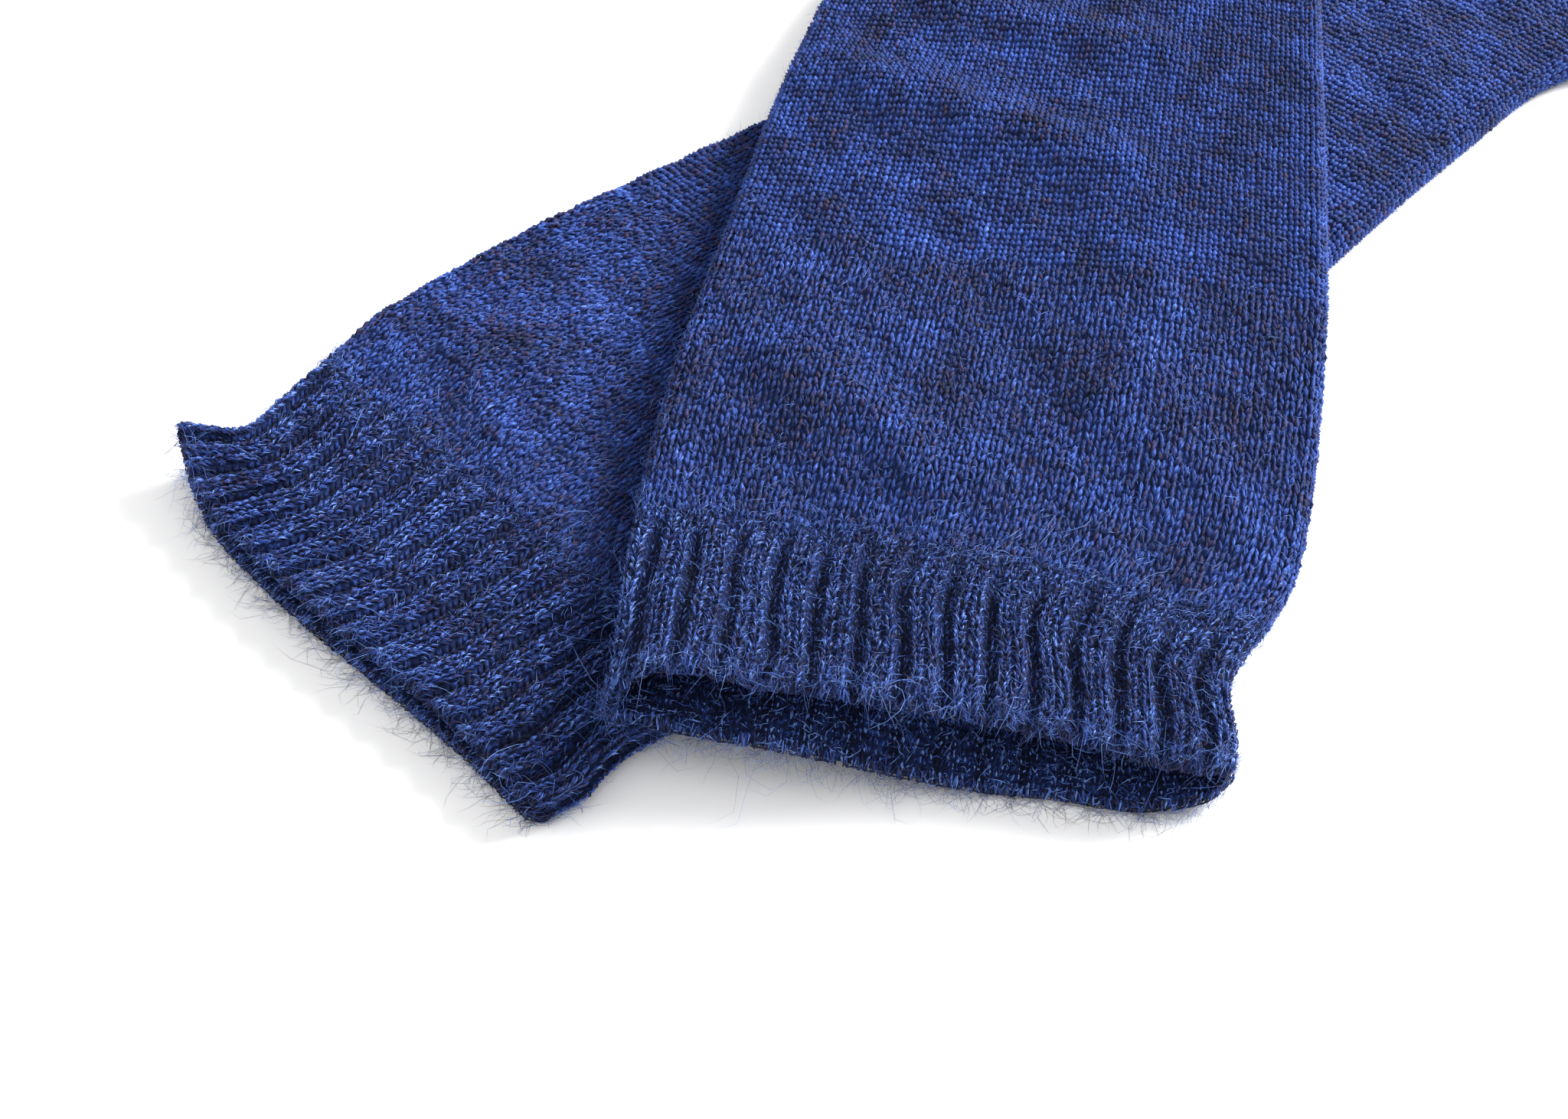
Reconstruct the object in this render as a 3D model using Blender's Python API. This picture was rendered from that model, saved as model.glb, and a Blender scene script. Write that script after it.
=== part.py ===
"""A pair of long ribbed mittens, laid flat and crossed, at real size.

Each mitten is a ribbed cuff, a plain knitted hand and a thumb. The sizes are in millimetres, in
the frame of the table: x to the right, y away from the viewer, z up. The cloth is worked out
from cross-sections of a flat tube: two layers of knitting that turn round a small fold at each
side. The front mitten drapes over the under one and comes down to the table on both sides of it.
"""

import math

import bmesh
import bpy
import numpy as np
from mathutils import Vector

MM = 0.001

# The knitting, and how a tube of it lies
WALL = 1.8  # one layer
AIR = 1.2  # between the two layers
SEAM = 0.3  # parting where one piece is knitted on to the next
PUFF = 0.9  # how far the upper layer rises along the middle of a hand
THICK = 2 * WALL + AIR  # a tube at its side folds
FOLD = THICK / 2  # outer radius of a side fold

# Along a mitten, from its hem
CUFF = 30.0  # ribbed length, up to the middle of the parting
THUMB_ROOT = (230.0, 274.0)  # where the thumb is picked up
TIP_START = 337.0  # where the closed end begins to narrow
LENGTH = 385.0
ROOT_SIDE = 40.0  # from the middle of the hand to the fold that the thumb leaves
CUT_IN = 0.3  # the hole's edge lies this far outside the middle of the fold

# The thumb
THUMB_ANGLE = 40.0  # degrees away from the hand
THUMB_REACH = 30.0  # from its root to where it is straight
THUMB_HALF = 15.5
THUMB_STRAIGHT = 10.0
THUMB_TIP = 16.0

# The ribs of the cuffs, two stitches raised and two sunk
RIBS = 30  # all round
RIB_HEIGHT = 0.8
RIB_POINTS = (0.0, 0.0, 1.0, 1.0)  # height of the four stitches of one rib, as shares
HEM_SHIFT_FADE = 25.0  # length over which the hem's curve straightens out

# How the front mitten crosses the under one
CLEAR = 0.35  # between them where they touch
DRAPE_RUN = 26.0  # length over which the front one comes down to the table
DRAPE_LEAD = 8.0  # it is at full height this far before the edge beneath it
BARE_GAP, BARE_RUN = 8.0, 14.0  # the under one is flat up to the first of these from its edge

# Around a hand or thumb: points across one layer, and round one side fold
HAND_ACROSS, HAND_FOLD = 14, 5
THUMB_ACROSS, THUMB_FOLD = 7, 5

KNIT_BLUE = (0.030, 0.055, 0.230, 1.0)
RIB_BLUE = (0.024, 0.046, 0.200, 1.0)

# Each mitten. "edges" are the half-widths to its left and right at places along it. "hem" is how
# far its edge is set back, across the opening. "mouth" is how far the upper layer gapes there.
# "ridges" are the folds of the upper layer: ends of the crest, its half-width and its height.
FRONT = {
    "name": "front",
    "hem_middle": (17.9, 165.3),
    "heading": 78.8,
    "thumb_side": 1,
    "edges": (
        # along, left, right
        (0, 40.4, 37.2),
        (6, 41.0, 37.2),
        (12, 41.9, 36.5),
        (18, 42.9, 36.0),
        (24, 43.8, 37.6),
        (30, 44.6, 40.4),
        (38, 45.3, 43.2),
        (50, 46.0, 44.8),
        (68, 46.2, 46.0),
        (95, 45.4, 46.0),
        (125, 45.0, 44.8),
        (155, 43.2, 43.2),
        (185, 40.6, 41.2),
        (210, 38.2, 38.8),
        (222, 38.4, 38.2),
        (231, 40.0, 38.6),
        (252, 40.0, 40.0),
        (276, 40.0, 41.0),
        (302, 41.0, 41.6),
        (337, 41.0, 41.0),
    ),
    "hem": (
        # across, set back
        (-38, 5.0),
        (-34, 1.2),
        (-28, -0.6),
        (-15, -1.1),
        (0, -1.1),
        (14, -2.5),
        (36, -2.8),
    ),
    "lip_back": 3.0,
    "mouth": (
        # across, gape
        (-38, 0.0),
        (-30, 1.0),
        (-20, 1.8),
        (-10, 2.8),
        (0, 3.8),
        (12, 5.4),
        (26, 6.6),
        (34, 5.0),
        (40, 0.0),
    ),
    "mouth_depth": 30.0,
    "curl": (-38, 0, 1.5),  # the corner of the hem that turns up: across, along, height
    "ridges": (
        # along, across, to along, to across, half-width, height
        (132, 36, 113, -12, 7.0, 2.6),
        (154, 22, 146, -14, 6.0, 1.8),
        (104, -14, 66, -20, 8.0, 1.3),
        (92, 8, 62, -4, 6.0, -0.8),
        (60, 30, 42, 6, 7.0, 2.0),
        (58, -18, 42, -38, 7.0, 1.6),
        (196, -24, 184, 20, 7.0, 1.8),
        (232, -20, 244, 14, 7.0, 1.6),
        (292, 14, 276, -22, 8.0, 1.4),
    ),
    "sections": (30, 38, 48, 60, 72, 84, 96, 108, 120, 132, 144, 156, 168, 180, 192, 205, 218,
                 231, 244, 258, 272, 288, 304, 320, 337),
}
UNDER = {
    "name": "under",
    "hem_middle": (-56.7, 184.5),
    "heading": 43.5,
    "thumb_side": -1,
    "edges": (
        (0, 45.4, 39.6),
        (6, 41.9, 40.2),
        (10, 40.7, 39.9),
        (16, 42.6, 40.0),
        (22, 44.6, 41.0),
        (30, 46.6, 41.8),
        (38, 48.6, 42.2),
        (52, 49.7, 42.4),
        (66, 49.8, 42.6),
        (90, 47.7, 43.2),
        (112, 45.4, 43.4),
        (140, 44.6, 42.4),
        (156, 44.0, 41.2),
        (172, 42.8, 39.8),
        (195, 40.6, 38.4),
        (222, 38.4, 37.9),
        (231, 38.4, 39.8),
        (252, 39.8, 40.0),
        (276, 40.8, 40.0),
        (302, 41.6, 41.0),
        (337, 41.0, 41.0),
    ),
    "hem": (
        (-40, 1.0),
        (-27, 0.6),
        (-12, 0.0),
        (3, -1.5),
        (18, -2.0),
        (33, -0.8),
        (42, 2.4),
        (47, 5.4),
    ),
    "lip_back": 0.5,
    "mouth": (
        (-40, 0.0),
        (-20, 0.6),
        (10, 0.9),
        (30, 0.6),
        (46, 0.0),
    ),
    "mouth_depth": 20.0,
    "curl": (46, 0, 4.0),
    "ridges": (
        (44, 44, 50, 22, 7.0, 1.2),
        (86, 40, 74, 24, 7.0, 1.0),
        (200, -24, 214, -6, 7.0, 1.4),
        (246, 22, 236, -16, 7.0, 1.6),
        (300, -18, 284, 20, 8.0, 1.4),
    ),
    "sections": (30, 40, 52, 66, 82, 98, 116, 136, 156, 176, 196, 214, 231, 244, 258, 272, 288,
                 304, 320, 337),
}


# Plan: where a point of a mitten is on the table


def ease(x):
    """0 below 0, 1 above 1, and smooth between."""
    x = min(max(x, 0.0), 1.0)
    return x * x * (3 - 2 * x)


def along_table(rows, column, x):
    """A smooth curve through one column of a table, held level past its ends."""
    places = [row[0] for row in rows]
    values = [row[column] for row in rows]
    if x <= places[0]:
        return values[0]
    if x >= places[-1]:
        return values[-1]
    slopes = np.gradient(values, places)
    i = int(np.searchsorted(places, x)) - 1
    gap = places[i + 1] - places[i]
    t = (x - places[i]) / gap
    start = (1 + 2 * t) * (1 - t) ** 2 * values[i] + t * (1 - t) ** 2 * gap * slopes[i]
    end = t * t * (3 - 2 * t) * values[i + 1] + t * t * (t - 1) * gap * slopes[i + 1]
    return start + end


def half_widths(mitten, along):
    left = along_table(mitten["edges"], 1, along)
    right = along_table(mitten["edges"], 2, along)
    return left, right


def directions(mitten):
    heading = math.radians(mitten["heading"])
    ahead = np.array([math.cos(heading), math.sin(heading)])
    return ahead, np.array([-ahead[1], ahead[0]])


def to_table(mitten, along, across):
    ahead, left = directions(mitten)
    return np.array(mitten["hem_middle"]) + along * ahead + across * left


def from_table(mitten, point):
    ahead, left = directions(mitten)
    offset = np.asarray(point) - mitten["hem_middle"]
    return float(offset @ ahead), float(offset @ left)


def inside(mitten, point):
    """How far a point of the table lies inside a mitten's outline, and its place along it."""
    along, across = from_table(mitten, point)
    left, right = half_widths(mitten, along)
    return min(left - across, across + right, along, LENGTH - along), along


# Height: what the cloth lies on, and how its upper layer rises


def rest_height(mitten, point):
    """Height of the surface that a mitten lies on: the table, or the mitten beneath it."""
    if mitten is UNDER:
        return 0.0
    depth, along = inside(UNDER, point)
    on_ribs = 1 - ease((along - CUFF) / 8)
    top = THICK + CLEAR + RIB_HEIGHT * on_ribs
    return top * ease((depth + DRAPE_LEAD + DRAPE_RUN) / DRAPE_RUN)


def curl(mitten, along, across):
    """A corner of the hem turns up a little."""
    corner, start, height = mitten["curl"]
    near = 1 - math.hypot(across - corner, along - start) / 16
    return height * ease(near)


def ridge(row, along, across):
    """A fold of the upper layer, highest along its crest and fading out round it."""
    start, end = np.array(row[0:2], float), np.array(row[2:4], float)
    crest = end - start
    share = float(np.clip((np.array([along, across]) - start) @ crest / (crest @ crest), 0, 1))
    away = math.dist((along, across), start + share * crest)
    return row[5] * math.exp(-((away / row[4]) ** 2))


def rise(mitten, along, across):
    """How far the upper layer stands above the plain flat tube."""
    left, right = half_widths(mitten, along)
    side = across / (left if across > 0 else right)
    level = 1 - min(abs(side), 1) ** 4
    body = ease((along - CUFF) / 14) * ease((LENGTH - 10 - along) / 40)
    height = PUFF * body + sum(ridge(row, along, across) for row in mitten["ridges"])
    if mitten is UNDER:
        depth, _ = inside(FRONT, to_table(mitten, along, across))
        height *= ease((-depth - BARE_GAP) / BARE_RUN)
    gape = along_table(mitten["mouth"], 1, across) * (1 - ease(along / mitten["mouth_depth"]))
    return height * level + gape


# Cross-sections


def around(across_count, fold_count):
    """Points round a flat tube: (place across the flat part from 1 to -1, angle outwards)."""
    points = []
    for turn in (0, 1):
        for i in range(across_count):
            place = 1 - 2 * i / across_count
            points.append((place if turn == 0 else -place, 90 + 180 * turn))
        for i in range(fold_count):
            points.append((-1 if turn == 0 else 1, 90 + 180 * turn + 180 * i / fold_count))
    return points


def around_evenly(count, half_width):
    """Points spaced evenly round a flat tube of this half-width."""
    flat = 2 * (half_width - FOLD)
    turn = math.pi * FOLD
    points = []
    for i in range(count):
        way = (i + 0.5) / count * 2 * (flat + turn)
        second, way = divmod(way, flat + turn)
        if way < flat:
            place = 1 - 2 * way / flat
            points.append((place if second == 0 else -place, 90 + 180 * second))
        else:
            angle = 90 + 180 * second + 180 * (way - flat) / turn
            points.append((-1 if second == 0 else 1, angle))
    return points


def tube_point(mitten, along, halves, place, angle, radius):
    """One point of a section: its outer face has the fold's radius, its inner face less."""
    left, right = halves
    middle, reach = (left - right) / 2, (left + right) / 2 - FOLD
    out = math.radians(angle)
    across = middle + reach * place + radius * math.cos(out) * (1 if abs(place) == 1 else 0)
    upper = max(math.sin(out), 0.0)
    shift = along_table(mitten["hem"], 1, across) * max(1 - along / HEM_SHIFT_FADE, 0)
    side = min(abs(across - middle) / (reach + FOLD), 1)
    lip = mitten["lip_back"] * upper * (1 - side ** 3) * max(1 - along / HEM_SHIFT_FADE, 0)
    x, y = to_table(mitten, along + shift + lip, across)
    z = FOLD + radius * math.sin(out)
    z += rest_height(mitten, (x, y)) + curl(mitten, along, across)
    z += upper * rise(mitten, along, across)
    return x, y, z


def rib_share(i, angle):
    """Ribs stand on the upper layer and its folds, and fade out on the face that rests."""
    return RIB_POINTS[i % len(RIB_POINTS)] * ease((math.sin(math.radians(angle)) + 0.7) / 0.7)


def cuff_sections(mitten, outer):
    half = sum(half_widths(mitten, CUFF / 2)) / 2
    count = RIBS * len(RIB_POINTS)
    points = around_evenly(count, half)
    if not outer:
        points = points[::2]
    sections = []
    for along in np.linspace(0, CUFF - SEAM / 2, 7):
        halves = half_widths(mitten, along)
        section = []
        for i, (place, angle) in enumerate(points):
            radius = FOLD + RIB_HEIGHT * rib_share(i, angle) if outer else FOLD - WALL
            section.append(tube_point(mitten, along, halves, place, angle, radius))
        sections.append(section)
    return sections


def hand_sections(mitten, outer):
    """The tube from the ribs to the closed, rounded tip."""
    radius = FOLD if outer else FOLD - WALL
    points = around(HAND_ACROSS, HAND_FOLD)
    sections = []
    for along in mitten["sections"]:
        place_along = along + SEAM / 2 if along == CUFF else along
        halves = half_widths(mitten, place_along)
        sections.append([tube_point(mitten, place_along, halves, *p, radius) for p in points])
    left, right = half_widths(mitten, TIP_START)
    less = 0 if outer else WALL
    for step in (18, 34, 50, 64, 76):
        turn = math.radians(step)
        along = TIP_START + (LENGTH - TIP_START - less) * math.sin(turn)
        halves = [FOLD + (h - FOLD) * math.cos(turn) for h in (left, right)]
        sections.append([tube_point(mitten, along, halves, *p, radius) for p in points])
    return sections


def thumb_sections(mitten, outer):
    """From its root, cut along the hand, the thumb turns outwards and then runs straight."""
    radius = FOLD if outer else FOLD - WALL
    side = mitten["thumb_side"]
    angle = math.radians(THUMB_ANGLE)
    ahead = np.array([math.cos(angle), side * math.sin(angle)])
    over = np.array([ahead[1], -ahead[0]]) * -side
    low, high = THUMB_ROOT[0] + SEAM, THUMB_ROOT[1] - SEAM
    root = np.array([(low + high) / 2, side * (ROOT_SIDE + 0.6)])
    bend = root + THUMB_REACH * ahead
    less = 0 if outer else WALL

    def root_section(depth):
        half = (high - low) / 2 - FOLD
        return [(root[0] - half * place - radius * math.cos(math.radians(a)) * (abs(place) == 1),
                 side * depth, a) for place, a in points]

    def straight_section(along, half):
        middle = bend + along * ahead
        section = []
        for place, a in points:
            out = (half - FOLD) * place + radius * math.cos(math.radians(a)) * (abs(place) == 1)
            section.append((*(middle + out * over), a))
        return section

    points = around(THUMB_ACROSS, THUMB_FOLD)
    start, turned = root_section(ROOT_SIDE + 0.6), straight_section(0, THUMB_HALF)
    plan = [root_section(ROOT_SIDE - FOLD + CUT_IN + SEAM), start]
    for share in (1 / 3, 2 / 3, 1):
        plan.append([tuple(np.array(a) * (1 - share) + np.array(b) * share)
                     for a, b in zip(start, turned)])
    plan.append(straight_section(THUMB_STRAIGHT, THUMB_HALF))
    for step in (22, 42, 60, 74):
        turn = math.radians(step)
        half = FOLD + (THUMB_HALF - FOLD) * math.cos(turn)
        plan.append(straight_section(THUMB_STRAIGHT + (THUMB_TIP - less) * math.sin(turn), half))
    sections = []
    for section in plan:
        sections.append([(*to_table(mitten, p[0], p[1]), FOLD + radius * math.sin(math.radians(p[2])))
                         for p in section])
    return sections


# Solids: an outer skin and an inner one, joined round the open end


def skin(mesh, sections):
    """Faces between successive sections; returns the first and last ring of vertices."""
    rings = [[mesh.verts.new(Vector(p) * MM) for p in section] for section in sections]
    for lower, upper in zip(rings, rings[1:]):
        for i in range(len(lower)):
            j = (i + 1) % len(lower)
            mesh.faces.new((lower[i], lower[j], upper[j], upper[i]))
    return rings[0], rings[-1]


def rim(mesh, outer, inner):
    """The edge of the cloth between its two faces, where the outer ring may have twice the points."""
    step = len(outer) // len(inner)
    for i in range(len(inner)):
        j = (i + 1) % len(inner)
        run = [outer[(i * step + k) % len(outer)] for k in range(step + 1)]
        mesh.faces.new(run[:2] + [inner[i]])
        if step == 2:
            mesh.faces.new((run[1], run[2], inner[j]))
        mesh.faces.new((run[1], inner[j], inner[i]))


def closed_end(mesh, ring, point):
    """The last ring runs together at one point."""
    top = mesh.verts.new(Vector(point) * MM)
    for i in range(len(ring)):
        mesh.faces.new((ring[i], ring[(i + 1) % len(ring)], top))


def material(name, colour):
    made = bpy.data.materials.new(name)
    made.use_nodes = True
    shader = made.node_tree.nodes["Principled BSDF"]
    shader.inputs["Base Color"].default_value = colour
    shader.inputs["Roughness"].default_value = 0.95
    shader.inputs["Metallic"].default_value = 0.0
    return made


def solid(name, outer, inner, colour, layout, ends=None):
    """One piece: open at both ends, or closed at the far one when its end points are given."""
    mesh = bmesh.new()
    outer_start, outer_end = skin(mesh, outer)
    inner_start, inner_end = skin(mesh, inner)
    rim(mesh, outer_start, inner_start)
    if ends is None:
        rim(mesh, outer_end, inner_end)
    else:
        closed_end(mesh, outer_end, ends[0])
        closed_end(mesh, inner_end, ends[1])
    bmesh.ops.recalc_face_normals(mesh, faces=mesh.faces)
    data = bpy.data.meshes.new(name)
    mesh.to_mesh(data)
    mesh.free()
    data.shade_smooth()
    data.set_sharp_from_angle(angle=math.radians(50))
    made = bpy.data.objects.new(name, data)
    made.data.materials.append(material(name + "_knit", colour))
    made.parent = layout
    pieces.objects.link(made)
    return made


def tip_points(mitten):
    """The ends of a hand's outer and inner skins."""
    left, right = half_widths(mitten, TIP_START)
    ends = []
    for less in (0.0, WALL):
        x, y = to_table(mitten, LENGTH - less, (left - right) / 2)
        ends.append((x, y, rest_height(mitten, (x, y)) + FOLD))
    return ends


def thumb_tip_points(outer, inner):
    """A thumb's skins end ahead of the middle of their last sections."""
    ends = []
    for sections, more in ((outer, 0.6), (inner, 0.3)):
        last, before = (np.mean(section, axis=0) for section in (sections[-1], sections[-2]))
        ahead = (last - before) / np.linalg.norm(last - before)
        ends.append(tuple(last + more * ahead))
    return ends


def thumb_hole(mitten, hand, layout):
    """Cuts the hand's side fold away where the thumb is picked up."""
    side = mitten["thumb_side"]
    low, high = THUMB_ROOT
    reach = 20.0
    depth = ROOT_SIDE - FOLD + CUT_IN
    x, y = to_table(mitten, (low + high) / 2, side * (depth + reach / 2))
    bpy.ops.mesh.primitive_cube_add(size=MM, location=(x * MM, y * MM, 0))
    cutter = bpy.context.object
    cutter.name = mitten["name"] + "_thumb_hole"
    cutter.scale = (high - low, reach, 6 * THICK)
    cutter.rotation_euler.z = math.radians(mitten["heading"])
    bpy.ops.object.transform_apply(location=False, rotation=False, scale=True)
    cutter.parent = layout
    for home in cutter.users_collection:
        home.objects.unlink(cutter)
    cutters.objects.link(cutter)
    cutter.hide_render = True
    cutter.display_type = "WIRE"
    cut = hand.modifiers.new("thumb_hole", "BOOLEAN")
    cut.operation = "DIFFERENCE"
    cut.object = cutter


def mitten_pieces(mitten, layout):
    name = mitten["name"]
    cuff = solid(name + "_cuff", cuff_sections(mitten, True), cuff_sections(mitten, False),
                 RIB_BLUE, layout)
    hand = solid(name + "_hand", hand_sections(mitten, True), hand_sections(mitten, False),
                 KNIT_BLUE, layout, tip_points(mitten))
    thumb_hole(mitten, hand, layout)
    outer, inner = thumb_sections(mitten, True), thumb_sections(mitten, False)
    thumb = solid(name + "_thumb", outer, inner, KNIT_BLUE, layout,
                  thumb_tip_points(outer, inner))
    return cuff, hand, thumb


for old in list(bpy.data.objects):
    bpy.data.objects.remove(old, do_unlink=True)

pieces = bpy.data.collections.new("pair_of_mittens")
cutters = bpy.data.collections.new("cutters")
for collection in (pieces, cutters):
    bpy.context.scene.collection.children.link(collection)
cutters.hide_render = True

# The pair hangs on one empty, which brings the middle of its underside to the origin
layout = bpy.data.objects.new("layout", None)
pieces.objects.link(layout)
made = mitten_pieces(UNDER, layout) + mitten_pieces(FRONT, layout)
corners = np.array([v.co for piece in made for v in piece.data.vertices])
low, high = corners.min(axis=0), corners.max(axis=0)
layout.location = (-(low[0] + high[0]) / 2, -(low[1] + high[1]) / 2, -low[2])
print("layout", [round(float(v) / MM, 3) for v in layout.location])
print("size", [round(float(v) / MM, 2) for v in high - low])
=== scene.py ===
"""A pair of long ribbed mittens in heathered blue wool and mohair, laid flat and crossed on a table."""

import math

import bpy
import numpy as np
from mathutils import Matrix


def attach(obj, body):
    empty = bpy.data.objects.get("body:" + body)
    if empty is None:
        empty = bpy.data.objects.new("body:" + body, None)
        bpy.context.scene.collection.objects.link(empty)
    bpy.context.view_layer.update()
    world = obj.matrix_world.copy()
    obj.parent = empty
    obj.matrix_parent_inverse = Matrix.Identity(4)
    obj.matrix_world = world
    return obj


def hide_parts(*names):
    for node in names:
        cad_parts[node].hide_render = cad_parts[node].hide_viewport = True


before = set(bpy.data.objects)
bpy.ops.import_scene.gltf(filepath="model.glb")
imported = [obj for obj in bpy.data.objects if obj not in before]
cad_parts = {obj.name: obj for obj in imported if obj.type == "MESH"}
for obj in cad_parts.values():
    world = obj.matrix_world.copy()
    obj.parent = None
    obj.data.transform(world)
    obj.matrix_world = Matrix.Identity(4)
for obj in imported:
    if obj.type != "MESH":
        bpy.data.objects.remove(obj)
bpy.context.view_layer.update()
bpy.ops.object.select_all(action="DESELECT")

# Ribbed cuffs
# The cuff of each mitten is knitted in the round in a rib of two knit and two purl stitches, from
# the cast-on hem up. It is one soft tube of wool that lies flat, with its mouth gaping a little.
MM = 0.001
WALL = 1.8  # one layer of knitting, in millimetres
AIR = 1.2  # between the two layers
FOLD = WALL + AIR / 2  # outer radius of a side fold
SEAM = 0.3  # parting where one piece is knitted on to the next
PUFF = 0.9  # how far the upper layer rises along the middle of a hand
PUFF_IN, PUFF_OUT = 14.0, 40.0  # lengths over which it rises and falls away
PUFF_STOP = 10.0  # where it ends, before the tip
CUFF = 30.0  # ribbed length
TIP_START = 337.0
LENGTH = 385.0
RIBS = 30  # all round
RIB_SHIFT = 0.25  # in ribs, how far a rib's middle lies past the middle of its share of the way round
RIB_HEIGHT = 0.8
RIB_TROUGH = 0.6  # how far the purl wales sink below the plain cloth
RIB_TOP, RIB_SLOPE = 0.25, 0.18  # half of its flat top and the width of its slope, in ribs
GROOVE, GROOVE_HALF = 0.25, 0.12  # share of the relief and half-width of the dip between knit wales
KNIT_WALES = (-0.172, 0.172)  # where they lie from the rib's middle, in ribs
PURL_WALES = (0.5,)  # the two purl wales are drawn together into one
RIB_WALE = 0.34 / RIBS  # a knit wale's share of the way round
RIB_COURSE = 1.05  # height of one row of stitches
FIRST_COURSE = 0.6
RIB_DEPTH = 0.35  # how far the wall's outer face lies under the plain surface, below the yarn
LEG_LIFT = -0.05  # middle of a leg's yarn from the plain surface
RESTING = 0.7  # the ribs flatten out where the cloth faces down to the table
STITCHES_END = -0.72  # sine of the facing past which a stitch would lie on the table
FUZZ_END = -0.5  # the same for fibres
INNER_FACE = -0.9  # the lower layer's inner face, which shows through the mouth
PAINTED_LIGHT_FROM, PAINTED_LIGHT_RUN = 0.3, 0.6  # where the left end of the front cuff gets paler, in painted light
FOLD_DRAW = 0.45  # how much thinner the cloth is drawn round a side fold
RIB_FADE = 5.0  # length over which the ribs melt into the hand
HEM_FADE = 25.0  # length over which the hem's curve straightens out
HEM_ROUND = 0.7  # how far the hem's edge is rounded
CLEAR = 0.35  # between the two mittens where they touch
DRAPE_RUN, DRAPE_LEAD = 26.0, 8.0  # how the front one comes down to the table
RIB_STEP = 8.0  # length over which it comes down from the under one's ribs
BARE_GAP, BARE_RUN = 8.0, 14.0  # the under one is flat near the front one
HIDDEN_DEPTH = 6.0  # this far under the front one's edge nothing shows
CURL_REACH = 16.0  # how far from its corner a hem turns up
WAVER, WAVER_START, WAVER_RUN = 0.16, 8.0, 20.0  # unevenness, and where along it sets in
FLOOR_GAP = 0.06  # nothing reaches lower than this
STEP, TURN = 0.3, 0.002  # small moves along, out and round, for the slopes of a surface

FRONT = {
    "name": "front",
    "hem_middle": (-56.252, -184.845),
    "heading": 78.8,
    "thumb_side": 1,
    "seed": 1,
    "sparser": 1,  # its fibres are this many times fewer
    "stray_hairs": 150,
    "inner_depth": 11,  # how far in the inner face shows through the mouth
    "shade": (0.46, 0.27, 0.035, 0.05),  # of the cuff's yarn: light, uneven, patchy, browner
    "painted_light_left": 0.10,  # how much paler the cuff's left end is painted, as light falling on it
    "wales": (
        # piece, places on a rib, strands in a leg, their radius in stitches, painted shade of the sunk
        # wales
        ("stitches", KNIT_WALES, 5, 0.064, 0.0),
        ("purl_stitches", PURL_WALES, 4, 0.070, 0.04),
    ),
    "edges": (
        # along, left, right
        (0, 40.4, 37.2),
        (6, 41.0, 37.2),
        (12, 41.9, 36.5),
        (18, 42.9, 36.0),
        (24, 43.8, 37.6),
        (30, 44.6, 40.4),
        (38, 45.3, 43.2),
        (50, 46.0, 44.8),
        (68, 46.2, 45.4),
        (95, 45.4, 45.2),
        (125, 44.7, 44.1),
        (155, 42.6, 42.7),
        (185, 40.6, 41.2),
        (210, 38.2, 38.8),
        (222, 38.4, 38.2),
        (231, 40.0, 38.6),
        (252, 40.0, 40.0),
        (276, 40.0, 41.0),
        (302, 41.0, 41.6),
        (337, 41.0, 41.0),
    ),
    "hem": (
        # across, set back
        (-38, 5.0),
        (-34, 1.0),
        (-28, -1.0),
        (-15, -1.5),
        (0, -3.0),
        (14, -4.6),
        (24, -5.0),
        (36, -4.4),
    ),
    "lip_back": 4.0,
    "mouth": (
        # across, gape
        (-38, 0.0),
        (-30, 2.2),
        (-20, 3.8),
        (-10, 4.4),
        (0, 4.6),
        (12, 3.8),
        (20, 3.4),
        (28, 5.4),
        (34, 5.0),
        (40, 0.0),
    ),
    "mouth_depth": 30.0,
    "curl": (-38, 0, 1.5),  # the corner of the hem that turns up: across, along, height
    "ridges": (
        # along, across, to along, to across, half-width, height
        (132, 36, 113, -12, 7.0, 2.6),
        (154, 22, 146, -14, 6.0, 1.8),
        (104, -14, 66, -20, 8.0, 1.3),
        (92, 8, 62, -4, 6.0, -0.8),
        (60, 30, 42, 6, 7.0, 2.0),
        (58, -18, 42, -38, 7.0, 1.6),
        (196, -24, 184, 20, 7.0, 1.8),
        (232, -20, 244, 14, 7.0, 1.6),
        (292, 14, 276, -22, 8.0, 1.4),
    ),
}
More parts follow.
